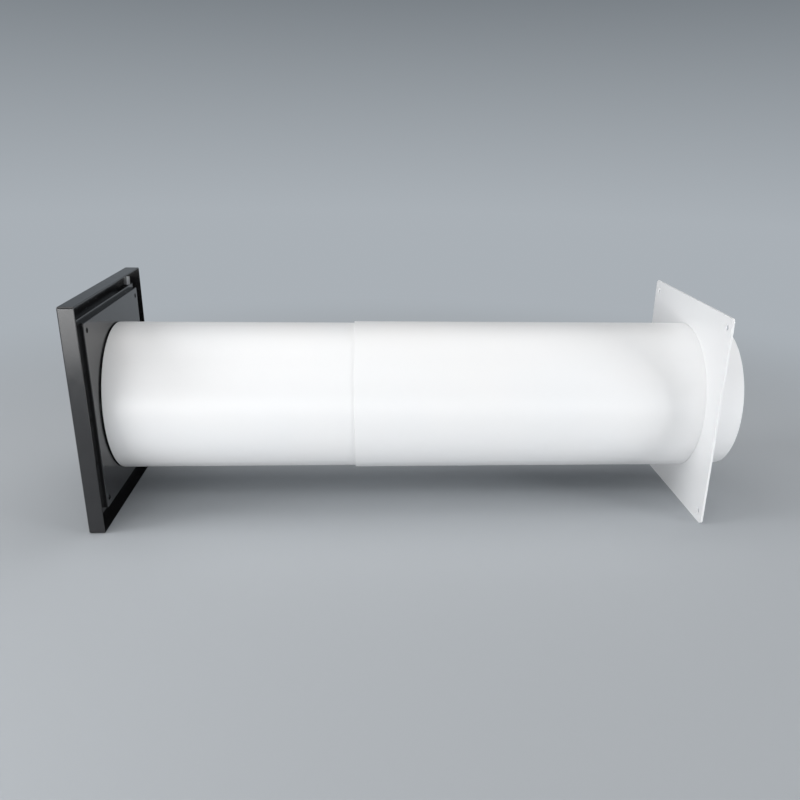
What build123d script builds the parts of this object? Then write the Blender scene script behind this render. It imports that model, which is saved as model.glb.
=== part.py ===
from build123d import *
import os

# Telescopic wall vent sleeve, in millimetres. X runs along the duct from outdoors to the
# room, Y across the wall and Z up. The origin is on the duct axis, in the plane where the
# room flange meets the wall.

# Pipes
duct_diameter = 150.0
pipe_wall = 1.2
slide_clearance = 0.3
push_clearance = 0.1
outer_pipe_length = 351.0
inner_pipe_length = 350.0
inner_pipe_showing = 238.8
pipe_edge_round = 0.4

# Room flange
flange_size = 211.0
flange_thickness = 2.5
flange_corner_radius = 4.0
flange_edge_round = 0.8
pipe_seat_depth = 1.0
spigot_end = 40.0
spigot_wall = 1.5
spigot_root_fillet = 2.0
spigot_lead_in = 1.0
flange_collar_length = 25.0

# Backdraft flaps in the spigot
flap_inset = 18.0
flap_thickness = 1.0
flap_edge_clearance = 1.5
flap_cut_back = 3.6
ledge_width = 3.0
ledge_thickness = 2.0
ledge_clearance = 0.3
shaft_radius = 1.5
shaft_fit = 0.02
hinge_fit = 0.05
boss_radius = 4.0
boss_height = 5.0
boss_skin = 0.5
knuckle_radius = 3.0
knuckle_length = 10.0
knuckle_inset = 11.5
knuckle_step = 16.0
boss_gap = 1.0

# Closing springs
wire_diameter = 0.6
spring_clearance = 0.4
spring_turns = 8
spring_start = 4.0
spring_leg_length = 25.0
leg_notch_height = 3.0
leg_notch_depth = 9.0
leg_clearance = 0.05

# Wall plate and its collar
plate_size = 182.0
sheet = 1.0
fold_depth = 4.6
plate_corner_radius = 1.5
plate_bend_radius = 0.8
pipe_standoff = 1.2
plate_bore_clearance = 0.2
plate_collar_reach = 25.0
collar_rim_width = 6.3

# Screw holes of the flange and of the wall plate
flange_hole_diameter = 6.0
flange_hole_inset = 10.5
flange_hole_sink = 2.0
flange_sink_angle = 90.0
plate_hole_diameter = 5.0
plate_hole_inset = 8.0

# Outdoor cover
cover_margin = 18.5
cover_depth = 15.0
cover_bend_radius = 1.5
cover_corner_radius = 2.0
rim_edge_round = 0.4
border_lap = 1.0
strip_showing = 3.6
strip_hole_diameter = 2.8
strip_hole_spacing = 44.0
strip_hole_count = 5

# Louvre blades
blade_sheet = 0.8
blade_spacing = 22.0
blade_lip = 3.0
blade_rise = 21.0
blade_hem = 2.0
blade_front_gap = 0.2
blade_back_depth = 6.4
blade_fold_radius = 1.2

# Fly screen
screen_depth = 5.0
screen_wire = 0.6
screen_spacing = 17.8
screen_edge_width = 3.0
screen_clearance = 0.2

# Corner clips and grille catches
clip_width = 3.0
clip_thickness = 0.8
clip_length = 9.0
clip_corner_distance = 8.9
catch_thickness = 0.5
catch_width = 12.0
catch_reach = 9.0
catch_foot = 8.0
catch_offset = 60.0

# Radii and places worked out from the sizes above
duct_radius = duct_diameter / 2
inner_bore_radius = duct_radius - pipe_wall
outer_bore_radius = duct_radius + slide_clearance
outer_pipe_radius = outer_bore_radius + pipe_wall
spigot_bore_radius = duct_radius - spigot_wall
flange_collar_radius = outer_bore_radius - push_clearance
plate_collar_radius = inner_bore_radius - push_clearance
outer_pipe_start = pipe_seat_depth - outer_pipe_length
inner_pipe_start = outer_pipe_start - inner_pipe_showing
wall_x = inner_pipe_start - pipe_standoff
cover_size = plate_size + 2 * cover_margin
cover_lift = (cover_size - flange_size) / 2
ring_inner_size = plate_size - 2 * sheet
opening_size = ring_inner_size - 2 * border_lap
flap_x = spigot_end - flap_inset
flap_radius = spigot_bore_radius - flap_edge_clearance
boss_face = spigot_bore_radius - boss_height


def across(x):
    """Plane across the duct at x, centred on the duct axis, facing the room."""
    return Plane(origin=(x, 0, 0), x_dir=(0, 1, 0), z_dir=(1, 0, 0))


def cover_plane(depth):
    """Plane across the outdoor cover, a depth out from the wall, facing the wall."""
    return Plane(origin=(wall_x - depth, 0, cover_lift), x_dir=(0, 1, 0), z_dir=(1, 0, 0))


def save(builder, name):
    builder.part.label = name
    export_step(builder.part, "parts/" + name + ".step")


def pipe(start, length, bore_radius):
    """Plain pipe along the duct, with both ends lightly rounded."""
    with BuildPart() as tube:
        with BuildSketch(across(start)):
            Circle(bore_radius + pipe_wall)
            Circle(bore_radius, mode=Mode.SUBTRACT)
        extrude(amount=length)
        fillet(tube.edges().filter_by(GeomType.CIRCLE), pipe_edge_round)
    return tube


save(pipe(outer_pipe_start, outer_pipe_length, outer_bore_radius), "outer_pipe")
save(pipe(inner_pipe_start, inner_pipe_length, inner_bore_radius), "inner_pipe")

# Room flange, moulded in one with its spigot, its pipe collar and the bearings of the flaps
flange_hole_spacing = flange_size - 2 * flange_hole_inset
with BuildPart() as room_flange:
    with BuildSketch(across(0)):
        RectangleRounded(flange_size, flange_size, flange_corner_radius)
    extrude(amount=flange_thickness)
    fillet(room_flange.faces().sort_by(Axis.X)[-1].edges(), flange_edge_round)
    with BuildSketch(across(flange_thickness)):
        Circle(duct_radius)
    extrude(amount=spigot_end - flange_thickness)
    root = room_flange.edges().filter_by(GeomType.CIRCLE).filter_by_position(
        Axis.X, flange_thickness, flange_thickness
    )
    fillet(root.sort_by(SortBy.RADIUS)[-1], spigot_root_fillet)
    chamfer(room_flange.faces().sort_by(Axis.X)[-1].edges(), spigot_lead_in)
    with BuildSketch(across(-flange_collar_length)):
        Circle(flange_collar_radius)
    extrude(amount=flange_collar_length)
    chamfer(room_flange.faces().sort_by(Axis.X)[0].edges(), pipe_edge_round)
    with BuildSketch(across(0)):
        Circle(outer_pipe_radius + push_clearance)
        Circle(flange_collar_radius, mode=Mode.SUBTRACT)
    extrude(amount=pipe_seat_depth, mode=Mode.SUBTRACT)
    with BuildSketch(across(-flange_collar_length)):
        Circle(spigot_bore_radius)
    extrude(amount=flange_collar_length + spigot_end, mode=Mode.SUBTRACT)
    ledge_start = flap_x + flap_thickness / 2 + ledge_clearance
    with BuildSketch(across(ledge_start)):
        Circle(spigot_bore_radius + spigot_wall / 2)
        Circle(spigot_bore_radius - ledge_width, mode=Mode.SUBTRACT)
    extrude(amount=ledge_thickness)
    for side in (1, -1):
        with BuildSketch(Plane(origin=(flap_x, 0, side * boss_face), z_dir=(0, 0, side))):
            Circle(boss_radius)
        extrude(amount=boss_height + spigot_wall / 2)
        with BuildSketch(Plane(origin=(flap_x, 0, side * boss_face), z_dir=(0, 0, side))):
            Circle(shaft_radius + shaft_fit)
        extrude(amount=boss_height - boss_skin, mode=Mode.SUBTRACT)
    with Locations(across(flange_thickness)):
        with GridLocations(flange_hole_spacing, flange_hole_spacing, 2, 2):
            CounterSinkHole(
                radius=flange_hole_diameter / 2,
                counter_sink_radius=flange_hole_diameter / 2 + flange_hole_sink,
                counter_sink_angle=flange_sink_angle,
            )
save(room_flange, "room_flange")

# Upright shaft that both flaps hang on
shaft_end = boss_face + boss_height - boss_skin - push_clearance
with BuildPart() as flap_shaft:
    with BuildSketch(Plane.XY.offset(-shaft_end)):
        with Locations((flap_x, 0)):
            Circle(shaft_radius)
    extrude(amount=2 * shaft_end)
    chamfer(flap_shaft.edges().filter_by(GeomType.CIRCLE), push_clearance)
save(flap_shaft, "flap_shaft")

# The two flaps are one moulding, the second turned half round about the duct axis
outer_knuckle = boss_face - knuckle_inset - knuckle_length / 2
inner_knuckle = outer_knuckle - knuckle_step
boss_notch_height = boss_face - boss_gap + boss_height


def flap(side):
    """Half disc with two hinge knuckles round the shaft, on one side of the duct."""
    knuckle_heights = (side * outer_knuckle, -side * inner_knuckle)
    with BuildPart() as half_disc:
        with BuildSketch(across(flap_x - flap_thickness / 2)):
            Circle(flap_radius)
            with Locations((side * (flap_cut_back - flap_radius), 0)):
                Rectangle(2 * flap_radius, 2 * flap_radius, mode=Mode.SUBTRACT)
            with Locations((0, -side * spring_start)):
                Rectangle(2 * leg_notch_depth, leg_notch_height, mode=Mode.SUBTRACT)
            with Locations((0, boss_notch_height), (0, -boss_notch_height)):
                Rectangle(2 * (boss_radius + boss_gap), 2 * boss_height, mode=Mode.SUBTRACT)
            with Locations(*[(side * flap_cut_back / 2, height) for height in knuckle_heights]):
                Rectangle(flap_cut_back + flap_thickness, knuckle_length)
        extrude(amount=flap_thickness)
        for height in knuckle_heights:
            with BuildSketch(Plane.XY.offset(height - knuckle_length / 2)):
                with Locations((flap_x, 0)):
                    Circle(knuckle_radius)
            extrude(amount=knuckle_length)
        with BuildSketch(Plane.XY.offset(-flap_radius)):
            with Locations((flap_x, 0)):
                Circle(shaft_radius + hinge_fit)
        extrude(amount=2 * flap_radius, mode=Mode.SUBTRACT)
    return half_disc


coil_radius = shaft_radius + spring_clearance + wire_diameter / 2
leg_lift = flap_thickness / 2 + wire_diameter / 2 + leg_clearance


def closing_spring(side):
    """Torsion spring on the shaft, with a leg that bears on the flap's outdoor face."""
    coil_frame = Plane(
        origin=(flap_x, 0, side * spring_start), x_dir=(-1, 0, 0), z_dir=(0, 0, side)
    )
    leg_start = Vector(flap_x - coil_radius, 0, side * spring_start)
    leg_end = Vector(flap_x - leg_lift, side * spring_leg_length, side * spring_start)
    leg = leg_end - leg_start
    leg_root = leg_start - leg.normalized() * wire_diameter / 2
    with BuildPart() as spring:
        with BuildLine(coil_frame) as coil:
            Helix(
                pitch=wire_diameter + leg_clearance,
                height=spring_turns * wire_diameter,
                radius=coil_radius,
            )
        with BuildSketch(Plane(origin=leg_start, z_dir=(0, side, 0))):
            Circle(wire_diameter / 2)
        sweep(path=coil.line, is_frenet=True)
        with BuildSketch(Plane(origin=leg_root, z_dir=leg)):
            Circle(wire_diameter / 2)
        extrude(amount=leg.length + wire_diameter / 2)
    return spring


for side, word in ((1, "left"), (-1, "right")):
    save(flap(side), "flap_" + word)
    save(closing_spring(side), "closing_spring_" + word)

# Wall plate, a shallow folded tray that the cover closes on
plate_hole_spacing = plate_size - 2 * plate_hole_inset
with BuildPart() as wall_plate:
    with BuildSketch(cover_plane(fold_depth)):
        RectangleRounded(plate_size, plate_size, plate_corner_radius)
    extrude(amount=fold_depth)
    fillet(wall_plate.faces().sort_by(Axis.X)[-1].edges(), plate_bend_radius)
    with BuildSketch(cover_plane(fold_depth)):
        RectangleRounded(ring_inner_size, ring_inner_size, plate_corner_radius - sheet)
    extrude(amount=fold_depth - sheet, mode=Mode.SUBTRACT)
    with BuildSketch(cover_plane(sheet)):
        with Locations((0, -cover_lift)):
            Circle(duct_radius + plate_bore_clearance)
        with GridLocations(plate_hole_spacing, plate_hole_spacing, 2, 2):
            Circle(plate_hole_diameter / 2)
    extrude(amount=sheet, mode=Mode.SUBTRACT)
save(wall_plate, "wall_plate")

# Collar through the wall plate into the inner pipe, with a rim welded behind the plate
with BuildPart() as plate_collar:
    with BuildSketch(across(wall_x - 2 * sheet)):
        Circle(plate_collar_radius + collar_rim_width)
    extrude(amount=sheet)
    with BuildSketch(across(wall_x - sheet)):
        Circle(plate_collar_radius)
    extrude(amount=sheet + plate_collar_reach)
    chamfer(plate_collar.faces().sort_by(Axis.X)[-1].edges(), pipe_edge_round)
    with BuildSketch(across(wall_x - 2 * sheet)):
        Circle(plate_collar_radius - sheet)
    extrude(amount=2 * sheet + plate_collar_reach, mode=Mode.SUBTRACT)
save(plate_collar, "plate_collar")

# Cover frame, folded from sheet: a border with rims that reach back to the wall
with BuildPart() as outer_frame:
    with BuildSketch(cover_plane(cover_depth)):
        RectangleRounded(cover_size, cover_size, cover_corner_radius)
    extrude(amount=cover_depth)
    fillet(outer_frame.faces().sort_by(Axis.X)[0].edges(), cover_bend_radius)
    with BuildSketch(cover_plane(cover_depth - sheet)):
        RectangleRounded(
            cover_size - 2 * sheet, cover_size - 2 * sheet, cover_corner_radius - sheet
        )
    extrude(amount=cover_depth - sheet, mode=Mode.SUBTRACT)
    with BuildSketch(cover_plane(cover_depth)):
        Rectangle(opening_size, opening_size)
    extrude(amount=sheet, mode=Mode.SUBTRACT)
    rim_end = outer_frame.faces().sort_by(Axis.X)[-1]
    fillet(rim_end.outer_wire().edges(), rim_edge_round)
save(outer_frame, "outer_frame")

# Angle-section ring between the border and the wall plate's folded edge
strip_size = plate_size + 2 * strip_showing
hole_line = (plate_size + strip_size) / 2
with BuildPart() as louvre_frame:
    with BuildSketch(cover_plane(cover_depth - sheet)):
        Rectangle(plate_size, plate_size)
    extrude(amount=cover_depth - sheet - fold_depth)
    with BuildSketch(cover_plane(fold_depth + sheet)):
        Rectangle(strip_size, strip_size)
        with GridLocations(hole_line, strip_hole_spacing, 2, strip_hole_count):
            Circle(strip_hole_diameter / 2, mode=Mode.SUBTRACT)
    extrude(amount=sheet)
    with BuildSketch(cover_plane(cover_depth - sheet)):
        Rectangle(ring_inner_size, ring_inner_size)
    extrude(amount=cover_depth - sheet - fold_depth, mode=Mode.SUBTRACT)
save(louvre_frame, "louvre_frame")

# Weather blades between the ring's sides: a lip at the front, a steep slope, a hem inside
blade_front_x = wall_x - (cover_depth - sheet - blade_front_gap)
blade_back_x = wall_x - blade_back_depth
blade_height = blade_lip + blade_rise + blade_hem
blade_gaps = round((opening_size - blade_height) / blade_spacing)
blade_step = (opening_size - blade_height) / blade_gaps
for index in range(blade_gaps + 1):
    foot = cover_lift - opening_size / 2 + index * blade_step
    with BuildPart() as blade:
        with BuildSketch(Plane.XZ.offset(-ring_inner_size / 2)) as section:
            with BuildLine() as fold:
                FilletPolyline(
                    (blade_front_x, foot),
                    (blade_front_x, foot + blade_lip),
                    (blade_back_x - blade_sheet, foot + blade_lip + blade_rise),
                    (blade_back_x - blade_sheet, foot + blade_height),
                    radius=blade_fold_radius,
                )
                offset(amount=blade_sheet, side=Side.RIGHT)
            make_face()
        extrude(amount=ring_inner_size)
    save(blade, "louvre_blade_" + str(index + 1))

# Fly screen: a flat edge round a grid of wires
screen_size = ring_inner_size - 2 * (catch_thickness + screen_clearance)
screen_field = screen_size - 2 * screen_edge_width
wire_gaps = round(screen_field / screen_spacing)
with BuildPart() as fly_screen:
    with BuildSketch(cover_plane(screen_depth + screen_wire)):
        Rectangle(screen_size, screen_size)
        with GridLocations(screen_field / wire_gaps, screen_field / wire_gaps, wire_gaps, wire_gaps):
            gap_size = screen_field / wire_gaps - screen_wire
            Rectangle(gap_size, gap_size, mode=Mode.SUBTRACT)
    extrude(amount=screen_wire)
save(fly_screen, "fly_screen")

# Stainless clips in the cover's four corners, on the border and up the side rim
rim_inside = cover_size / 2 - sheet
clip_middle = rim_inside - clip_corner_distance - clip_length / 2
corners = [(y, z) for y in (-1, 1) for z in (-1, 1)]
for number, (y_side, z_side) in enumerate(corners, start=1):
    with BuildPart() as corner_clip:
        with BuildSketch(cover_plane(cover_depth - sheet)):
            with Locations((y_side * (rim_inside - clip_width / 2), z_side * clip_middle)):
                Rectangle(clip_width, clip_length)
        extrude(amount=clip_thickness)
        with BuildSketch(cover_plane(cover_depth - sheet)):
            with Locations((y_side * (rim_inside - clip_thickness / 2), z_side * clip_middle)):
                Rectangle(clip_thickness, clip_length)
        extrude(amount=clip_width)
    save(corner_clip, "corner_clip_" + str(number))

# Spring strips on the wall plate that grip the ring above and below
ring_inside = ring_inner_size / 2
for number, (y_side, z_side) in enumerate(corners, start=1):
    with BuildPart() as grille_catch:
        with BuildSketch(cover_plane(sheet + catch_reach)):
            with Locations((y_side * catch_offset, z_side * (ring_inside - catch_thickness / 2))):
                Rectangle(catch_width, catch_thickness)
        extrude(amount=catch_reach)
        with BuildSketch(cover_plane(sheet + catch_thickness)):
            with Locations((y_side * catch_offset, z_side * (ring_inside - catch_foot / 2))):
                Rectangle(catch_width, catch_foot)
        extrude(amount=catch_thickness)
    save(grille_catch, "grille_catch_" + str(number))
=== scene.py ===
import math

import bmesh
import bpy
from mathutils import Matrix, Vector


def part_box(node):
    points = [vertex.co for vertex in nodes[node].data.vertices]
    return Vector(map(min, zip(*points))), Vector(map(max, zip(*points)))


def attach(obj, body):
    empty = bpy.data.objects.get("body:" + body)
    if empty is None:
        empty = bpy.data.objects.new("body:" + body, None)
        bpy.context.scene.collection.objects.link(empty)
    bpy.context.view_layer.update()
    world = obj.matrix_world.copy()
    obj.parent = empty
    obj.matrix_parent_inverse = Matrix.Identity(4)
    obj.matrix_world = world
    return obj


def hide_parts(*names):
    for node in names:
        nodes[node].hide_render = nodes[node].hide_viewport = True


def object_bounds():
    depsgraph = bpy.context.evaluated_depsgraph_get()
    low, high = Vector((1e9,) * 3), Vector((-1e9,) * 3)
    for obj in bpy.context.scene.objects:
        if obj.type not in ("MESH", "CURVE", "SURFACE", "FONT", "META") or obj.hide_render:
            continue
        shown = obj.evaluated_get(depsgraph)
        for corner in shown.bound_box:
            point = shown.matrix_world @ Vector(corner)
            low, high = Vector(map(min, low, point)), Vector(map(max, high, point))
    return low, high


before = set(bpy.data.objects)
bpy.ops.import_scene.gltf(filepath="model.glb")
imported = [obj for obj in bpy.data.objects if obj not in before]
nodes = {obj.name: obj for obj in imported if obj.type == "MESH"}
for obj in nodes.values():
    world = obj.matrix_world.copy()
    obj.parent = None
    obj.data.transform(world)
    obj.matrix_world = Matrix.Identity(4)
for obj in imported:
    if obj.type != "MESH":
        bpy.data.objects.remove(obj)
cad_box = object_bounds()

# Telescopic wall vent sleeve. Metres, in the frame of the solids: X along the duct from
# outdoors to the room, Y across the wall, Z up.


# Materials

# Most values of a noise lie between these two
usual_noise_low = 0.3
usual_noise_high = 0.7


def new_material(name, color, roughness, metallic=0.0):
    material = bpy.data.materials.new(name)
    material.use_nodes = True
    shader = material.node_tree.nodes["Principled BSDF"]
    shader.inputs["Base Color"].default_value = (*color, 1.0)
    shader.inputs["Roughness"].default_value = roughness
    shader.inputs["Metallic"].default_value = metallic
    return material, material.node_tree, shader


def noise_on_object(tree, scale, detail=2.0, stretch=(1.0, 1.0, 1.0)):
    """Noise in Object coordinates, drawn out along an axis where its stretch is below one."""
    coordinates = tree.nodes.new("ShaderNodeTexCoord")
    mapping = tree.nodes.new("ShaderNodeMapping")
    mapping.inputs["Scale"].default_value = stretch
    noise = tree.nodes.new("ShaderNodeTexNoise")
    noise.inputs["Scale"].default_value = scale
    noise.inputs["Detail"].default_value = detail
    tree.links.new(coordinates.outputs["Object"], mapping.inputs["Vector"])
    tree.links.new(mapping.outputs["Vector"], noise.inputs["Vector"])
    return noise.outputs["Fac"]


def spread(tree, source, low, high, start=usual_noise_low, end=usual_noise_high):
    """Map a value from start..end to low..high."""
    ramp = tree.nodes.new("ShaderNodeMapRange")
    ramp.inputs["From Min"].default_value = start
    ramp.inputs["From Max"].default_value = end
    ramp.inputs["To Min"].default_value = low
    ramp.inputs["To Max"].default_value = high
    tree.links.new(source, ramp.inputs["Value"])
    return ramp.outputs["Result"]


def mix_colors(tree, share, first, second):
    mix = tree.nodes.new("ShaderNodeMix")
    mix.data_type = "RGBA"
    mix.inputs["A"].default_value = (*first, 1.0)
    mix.inputs["B"].default_value = (*second, 1.0)
    tree.links.new(share, mix.inputs["Factor"])
    return mix.outputs["Result"]


def tint(tree, shader, noise, first, second):
    """Let a noise move the base colour between two close colours."""
    share = spread(tree, noise, low=0.0, high=1.0)
    tree.links.new(mix_colors(tree, share, first, second), shader.inputs["Base Color"])


def relief(tree, shader, noise, distance, strength):
    bump = tree.nodes.new("ShaderNodeBump")
    bump.inputs["Distance"].default_value = distance
    bump.inputs["Strength"].default_value = strength
    tree.links.new(noise, bump.inputs["Height"])
    tree.links.new(bump.outputs["Normal"], shader.inputs["Normal"])


def vary_roughness(tree, shader, noise, low, high):
    tree.links.new(spread(tree, noise, low, high), shader.inputs["Roughness"])


def extruded_pipe_plastic():
    """White pipe plastic: satin, with faint draw lines along the pipe."""
    white = (0.87, 0.875, 0.88)
    warm = (0.885, 0.88, 0.875)
    material, tree, shader = new_material("extruded_pipe_plastic", white, roughness=0.38)
    clouds = noise_on_object(tree, scale=9.0)
    draw_lines = noise_on_object(tree, scale=420.0, detail=1.0, stretch=(0.02, 1.0, 1.0))
    sheen = noise_on_object(tree, scale=30.0, detail=3.0, stretch=(0.2, 1.0, 1.0))
    tint(tree, shader, clouds, white, warm)
    relief(tree, shader, draw_lines, distance=0.00002, strength=0.35)
    vary_roughness(tree, shader, sheen, low=0.34, high=0.42)
    return material


def moulded_flange_plastic():
    """White moulded plastic, a touch smoother than the pipes, with a fine mould grain."""
    white = (0.88, 0.885, 0.89)
    shade = (0.865, 0.865, 0.87)
    material, tree, shader = new_material("moulded_flange_plastic", white, roughness=0.34)
    clouds = noise_on_object(tree, scale=14.0)
    mould_grain = noise_on_object(tree, scale=1400.0)
    sheen = noise_on_object(tree, scale=40.0, detail=3.0)
    tint(tree, shader, clouds, white, shade)
    relief(tree, shader, mould_grain, distance=0.00001, strength=0.4)
    vary_roughness(tree, shader, sheen, low=0.3, high=0.38)
    return material


def black_powder_coat():
    """Black satin powder coat with its fine orange-peel skin."""
    black = (0.012, 0.012, 0.013)
    soft = (0.017, 0.017, 0.018)
    material, tree, shader = new_material("black_powder_coat", black, roughness=0.17)
    shader.inputs["Specular IOR Level"].default_value = 0.75
    clouds = noise_on_object(tree, scale=60.0, detail=3.0)
    orange_peel = noise_on_object(tree, scale=900.0)
    sheen = noise_on_object(tree, scale=120.0, detail=3.0)
    tint(tree, shader, clouds, black, soft)
    relief(tree, shader, orange_peel, distance=0.00002, strength=0.3)
    vary_roughness(tree, shader, sheen, low=0.15, high=0.2)
    return material


def stainless_steel():
    """Bright cold-rolled stainless with fine scratches."""
    steel = (0.66, 0.66, 0.65)
    dull = (0.56, 0.56, 0.56)
    material, tree, shader = new_material("stainless_steel", steel, roughness=0.3, metallic=1.0)
    clouds = noise_on_object(tree, scale=200.0, detail=3.0)
    scratches = noise_on_object(tree, scale=2500.0, detail=1.0, stretch=(1.0, 0.05, 1.0))
    sheen = noise_on_object(tree, scale=900.0, stretch=(1.0, 0.1, 1.0))
    tint(tree, shader, clouds, steel, dull)
    relief(tree, shader, scratches, distance=0.00001, strength=0.3)
    vary_roughness(tree, shader, sheen, low=0.22, high=0.4)
    return material


def zinc_plate():
    """Dull bright zinc plate on the small spring clips."""
    zinc = (0.8, 0.81, 0.83)
    dull = (0.68, 0.69, 0.7)
    material, tree, shader = new_material("zinc_plate", zinc, roughness=0.55, metallic=0.85)
    clouds = noise_on_object(tree, scale=350.0, detail=3.0)
    plating_grain = noise_on_object(tree, scale=1500.0)
    sheen = noise_on_object(tree, scale=600.0)
    tint(tree, shader, clouds, zinc, dull)
    relief(tree, shader, plating_grain, distance=0.00001, strength=0.3)
    vary_roughness(tree, shader, sheen, low=0.5, high=0.6)
    return material


def rolled_aluminium():
    """Thin rolled aluminium sheet, brushed up and down."""
    bright = (0.74, 0.75, 0.76)
    dull = (0.64, 0.65, 0.66)
    up_and_down = (1.0, 1.0, 0.01)
    material, tree, shader = new_material("rolled_aluminium", bright, roughness=0.34, metallic=1.0)
    clouds = noise_on_object(tree, scale=50.0, detail=3.0)
    brush_lines = noise_on_object(tree, scale=1800.0, detail=1.0, stretch=up_and_down)
    sheen = noise_on_object(tree, scale=500.0, stretch=up_and_down)
    tint(tree, shader, clouds, bright, dull)
    relief(tree, shader, brush_lines, distance=0.00001, strength=0.15)
    vary_roughness(tree, shader, sheen, low=0.3, high=0.4)
    return material


pipe_plastic = extruded_pipe_plastic()
flange_plastic = moulded_flange_plastic()
powder_coat = black_powder_coat()
steel = stainless_steel()
aluminium = rolled_aluminium()
zinc = zinc_plate()

# Pieces that aren't named here are stainless steel
finishes = {
    "room_flange": flange_plastic,
    "outer_pipe": pipe_plastic,
    "inner_pipe": pipe_plastic,
    "wall_plate": powder_coat,
    "plate_collar": powder_coat,
    "outer_frame": powder_coat,
    "louvre_frame": powder_coat,
    "louvre_blade": powder_coat,
    "flap_left": aluminium,
    "flap_right": aluminium,
    "corner_clip": zinc,
    "grille_catch": zinc,
}
for name, node in nodes.items():
    kind = name.rstrip("_0123456789")
    node.data.materials.clear()
    node.data.materials.append(finishes.get(kind, steel))


def verts_of(items):
    """The vertices among what a bmesh operator gives back."""
    return [item for item in items if isinstance(item, bmesh.types.BMVert)]


def new_piece(name, mesh, finish):
    """An object at the origin that takes over the finished bmesh."""
    data = bpy.data.meshes.new(name)
    mesh.to_mesh(data)
    mesh.free()
    data.materials.append(finish)
    piece = bpy.data.objects.new(name, data)
    bpy.context.scene.collection.objects.link(piece)
    return piece


# Woven fly screen

screen_edge_width = 0.003
mesh_pitch = 0.003
mesh_wire_radius = 0.00013
mesh_wire_sides = 5


def woven_wire(mesh, start, length, crossings, phase):
    """One wire along Y from start, over and under the wires it crosses by turns."""
    half_pitch = length / crossings / 2
    across_wire = Matrix.Translation(start) @ Matrix.Rotation(math.pi / 2, 4, "X")
    ring = bmesh.ops.create_circle(
        mesh, segments=mesh_wire_sides, radius=mesh_wire_radius, cap_ends=True, matrix=across_wire,
    )["verts"]
    made = list(ring)
    edges = list({edge for vert in ring for edge in vert.link_edges})
    bow = 0.0
    for step in range(1, 2 * crossings + 1):
        side = (1, -1)[(step // 2 + phase) % 2]
        next_bow = side * mesh_wire_radius if step % 2 else 0.0
        grown = bmesh.ops.extrude_edge_only(mesh, edges=edges)["geom"]
        ring = verts_of(grown)
        edges = [
            item for item in grown
            if isinstance(item, bmesh.types.BMEdge) and all(vert in ring for vert in item.verts)
        ]
        bmesh.ops.translate(mesh, verts=ring, vec=(next_bow - bow, half_pitch, 0.0))
        bow = next_bow
        made += ring
    bmesh.ops.contextual_create(mesh, geom=edges)
    return made


def lay_wires(mesh, field):
    """A plain weave of wires over a square field around the origin."""
    crossings = round(field / mesh_pitch)
    pitch = field / crossings
    for phase in (0, 1):
        first = (0.0, -field / 2, -field / 2 + pitch * (0.5 + phase))
        strand = woven_wire(mesh, first, field, crossings, phase)
        strand_faces = list({face for vert in strand for face in vert.link_faces})
        for index in range(1, (crossings - phase + 1) // 2):
            copy = bmesh.ops.duplicate(mesh, geom=strand_faces)["geom"]
            bmesh.ops.translate(mesh, verts=verts_of(copy), vec=(0.0, 0.0, 2 * index * pitch))
    # A half turn about the field's diagonal lays the same wires upright, each over the
    # others where those go under
    upright = bmesh.ops.duplicate(mesh, geom=mesh.verts[:] + mesh.edges[:] + mesh.faces[:])["geom"]
    half_turn = Matrix.Rotation(math.pi, 3, Vector((0.0, 1.0, -1.0)))
    bmesh.ops.rotate(mesh, verts=verts_of(upright), cent=(0.0, 0.0, 0.0), matrix=half_turn)


def lay_edge(mesh, half_width, thickness):
    """The flat square edge that holds the ends of the wires."""
    upright = Matrix.Translation((-thickness / 2, 0.0, 0.0)) @ Matrix.Rotation(math.pi / 2, 4, "Y")
    corners = bmesh.ops.create_grid(
        mesh, x_segments=1, y_segments=1, size=half_width, matrix=upright,
    )["verts"]
    panel = corners[0].link_faces[0]
    rim = bmesh.ops.inset_individual(
        mesh, faces=[panel], thickness=screen_edge_width, use_even_offset=True,
    )["faces"]
    bmesh.ops.delete(mesh, geom=[panel], context="FACES_ONLY")
    raised = bmesh.ops.extrude_face_region(mesh, geom=rim, use_keep_orig=True)["geom"]
    bmesh.ops.translate(mesh, verts=verts_of(raised), vec=(thickness, 0.0, 0.0))


def woven_fly_screen():
    """Stainless mesh in a flat folded edge, in the place of the solid screen."""
    low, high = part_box("fly_screen")
    half_width = (high.y - low.y) / 2
    mesh = bmesh.new()
    lay_wires(mesh, 2 * (half_width - screen_edge_width))
    lay_edge(mesh, half_width, high.x - low.x)
    bmesh.ops.translate(mesh, verts=mesh.verts[:], vec=(low + high) / 2)
    bmesh.ops.recalc_face_normals(mesh, faces=mesh.faces[:])
    piece = new_piece("woven_fly_screen", mesh, steel)
    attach(piece, "outdoor_half")
    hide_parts("fly_screen")


woven_fly_screen()


# Floor and backdrop

floor_level = cad_box[0].z
sleeve_middle = (cad_box[0] + cad_box[1]) / 2
floor_radius = 1.6
sweep_radius = 1.4
sweep_steps = 24
turn_steps = 96
wall_top = 3.0
merge_distance = 0.0001
paper_color = (0.45, 0.475, 0.5)
lit_paper_radius = 0.42
even_tone_radius = 1.1
backdrop_color = (0.4, 0.435, 0.47)
# Painted shade: the glow of the backdrop darkens to this colour as it rises
backdrop_top_painted_shade = (0.16, 0.18, 0.2)
painted_shade_fade_height = 0.9


def seen_directly(tree):
    """One for rays from the camera, from gloss and through glass, zero for light on the object."""
    path = tree.nodes.new("ShaderNodeLightPath")
    seen = path.outputs["Is Camera Ray"]
    for kind in ("Is Glossy Ray", "Is Transmission Ray"):
        either = tree.nodes.new("ShaderNodeMath")
        either.operation = "MAXIMUM"
        tree.links.new(seen, either.inputs[0])
        tree.links.new(path.outputs[kind], either.inputs[1])
        seen = either.outputs["Value"]
    return seen


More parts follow.
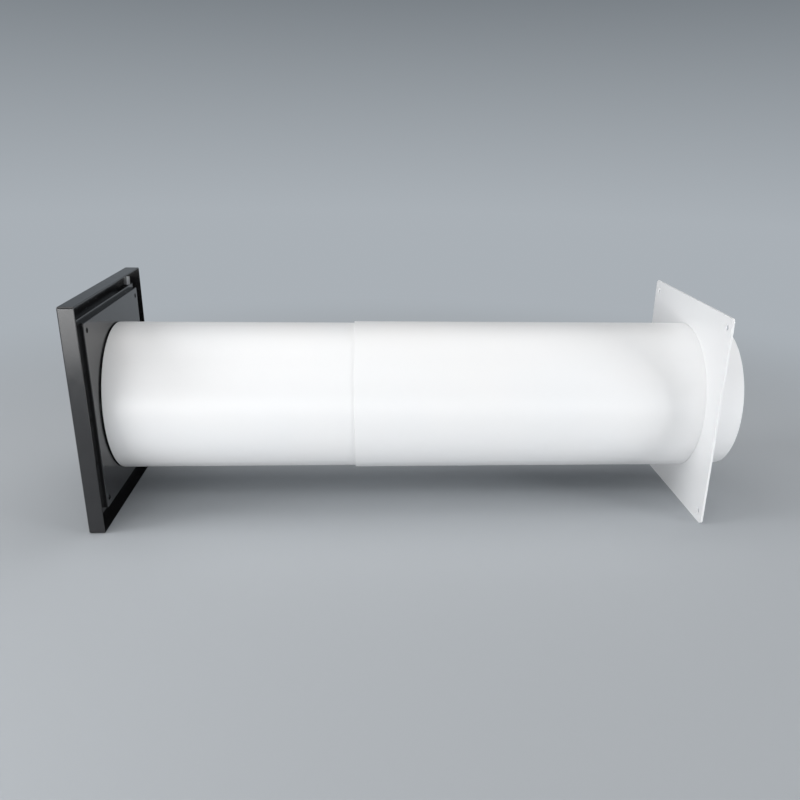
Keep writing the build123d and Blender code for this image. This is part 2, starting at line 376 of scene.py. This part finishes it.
def far_from_sleeve(tree, place):
    """Zero on the paper near the sleeve, rising softly to one further away."""
    distance = tree.nodes.new("ShaderNodeVectorMath")
    distance.operation = "DISTANCE"
    distance.inputs[1].default_value = (sleeve_middle.x, sleeve_middle.y, floor_level)
    tree.links.new(place, distance.inputs[0])
    far = tree.nodes.new("ShaderNodeMapRange")
    far.interpolation_type = "SMOOTHSTEP"
    far.inputs["From Min"].default_value = lit_paper_radius
    far.inputs["From Max"].default_value = even_tone_radius
    tree.links.new(distance.outputs["Value"], far.inputs["Value"])
    return far.outputs["Result"]


def backdrop_glow_with_painted_shade(tree, place):
    """A glow, even around the floor, with painted shade that darkens it as the backdrop rises."""
    split = tree.nodes.new("ShaderNodeSeparateXYZ")
    tree.links.new(place, split.inputs["Vector"])
    painted_shade_share = spread(tree, split.outputs["Z"], low=0.0, high=1.0, start=0.0, end=painted_shade_fade_height)
    color = mix_colors(tree, painted_shade_share, backdrop_color, backdrop_top_painted_shade)
    tone = tree.nodes.new("ShaderNodeEmission")
    tree.links.new(color, tone.inputs["Color"])
    return tone.outputs["Emission"]


def studio_paper():
    """Pale paper that is lit near the sleeve and glows further away, in one tone on the floor that
    painted shade darkens as the backdrop rises.
    """
    material, tree, shader = new_material("studio_paper", paper_color, roughness=0.85)
    place = tree.nodes.new("ShaderNodeTexCoord").outputs["Object"]
    share = tree.nodes.new("ShaderNodeMath")
    share.operation = "MULTIPLY"
    tree.links.new(far_from_sleeve(tree, place), share.inputs[0])
    tree.links.new(seen_directly(tree), share.inputs[1])
    blend = tree.nodes.new("ShaderNodeMixShader")
    tree.links.new(share.outputs["Value"], blend.inputs["Fac"])
    tree.links.new(shader.outputs["BSDF"], blend.inputs[1])
    tree.links.new(backdrop_glow_with_painted_shade(tree, place), blend.inputs[2])
    output = tree.nodes["Material Output"]
    tree.links.new(blend.outputs["Shader"], output.inputs["Surface"])
    return material


def studio_floor():
    """Round floor that sweeps up into a backdrop on every side."""
    mesh = bmesh.new()
    centre = mesh.verts.new((0.0, 0.0, floor_level))
    edge = mesh.verts.new((floor_radius, 0.0, floor_level))
    mesh.edges.new((centre, edge))
    swept = bmesh.ops.spin(
        mesh, geom=[edge], cent=(floor_radius, 0.0, floor_level + sweep_radius), axis=(0, -1, 0),
        angle=math.pi / 2, steps=sweep_steps, use_duplicate=False,
    )
    top = verts_of(swept["geom_last"])[0]
    mesh.edges.new((top, mesh.verts.new((top.co.x, top.co.y, wall_top))))
    bmesh.ops.spin(
        mesh, geom=mesh.verts[:] + mesh.edges[:], cent=(0, 0, 0), axis=(0, 0, 1),
        angle=2 * math.pi, steps=turn_steps, use_merge=True, use_duplicate=False,
    )
    bmesh.ops.remove_doubles(mesh, verts=mesh.verts[:], dist=merge_distance)
    bmesh.ops.translate(mesh, verts=mesh.verts[:], vec=(sleeve_middle.x, sleeve_middle.y, 0.0))
    piece = new_piece("studio_floor", mesh, studio_paper())
    piece.data.shade_smooth()


studio_floor()


# Lights

pipe_middle = (-0.28, 0.0, 0.0)
pipe_underside = (-0.3, 0.0, -0.04)
cover_side = (-0.63, -0.1, 0.0)
flange_foot = (0.0, 0.0, -0.06)
flange_wall_side = (0.0, -0.03, -0.03)
spigot_middle = (0.05, 0.0, 0.0)


def softbox(name, place, target, width, height, power):
    """Lamp with a soft rectangle of light, aimed at the target and unseen by the camera."""
    lamp = bpy.data.lights.new(name, "AREA")
    lamp.shape = "RECTANGLE"
    lamp.size = width
    lamp.size_y = height
    lamp.energy = power
    piece = bpy.data.objects.new(name, lamp)
    bpy.context.scene.collection.objects.link(piece)
    piece.location = place
    aim = Vector(target) - Vector(place)
    piece.rotation_euler = aim.to_track_quat("-Z", "Y").to_euler()
    piece.visible_camera = False


softbox("overhead_softbox", (-0.35, 0.4, 1.9), pipe_middle, width=2.4, height=1.6, power=18.0)
softbox("key_softbox", (-0.5, -1.1, 1.3), pipe_middle, width=1.7, height=0.2, power=2.2)
softbox("low_front_softbox", (-0.35, -1.35, -0.01), pipe_underside, width=1.7, height=0.16, power=4.5)
softbox("cover_edge_softbox", (-0.83, -0.62, -0.01), cover_side, width=0.4, height=0.14, power=0.45)
softbox("left_softbox", (-1.4, -1.1, 0.12), flange_foot, width=1.0, height=0.4, power=6.0)
softbox("flange_softbox", (-1.9, -0.4, 0.9), flange_wall_side, width=0.8, height=0.8, power=12.0)
softbox("right_softbox", (1.2, -0.8, 0.25), spigot_middle, width=0.6, height=0.5, power=11.0)

world = bpy.data.worlds.new("studio_world")
world.use_nodes = True
sky = world.node_tree.nodes["Background"]
sky.inputs["Color"].default_value = (1.0, 1.0, 1.0, 1.0)
sky.inputs["Strength"].default_value = 0.22
bpy.context.scene.world = world


# Camera, a little to the room side of the joint between the pipes and looking down

image_size = 800.0
sensor_width = 36.0
focal_pixels = 811.9
centre_pixel = (424.5, 455.9)
camera_place = (-0.3371, -0.8261, 0.2614)
camera_pitch = math.radians(21.86)
camera_yaw = math.radians(4.305)
camera_roll = math.radians(1.239)

lens = bpy.data.cameras.new("photo_camera")
lens.sensor_width = sensor_width
lens.lens = sensor_width * focal_pixels / image_size
lens.shift_x = 0.5 - centre_pixel[0] / image_size
lens.shift_y = centre_pixel[1] / image_size - 0.5
camera = bpy.data.objects.new("photo_camera", lens)
bpy.context.scene.collection.objects.link(camera)
turn = Matrix.Rotation(-camera_yaw, 4, "Z")
tip = Matrix.Rotation(math.pi / 2 - camera_pitch, 4, "X")
lean = Matrix.Rotation(camera_roll, 4, "Z")
camera.matrix_world = Matrix.Translation(camera_place) @ turn @ tip @ lean
bpy.context.scene.camera = camera

bpy.context.scene.view_settings.view_transform = "Standard"
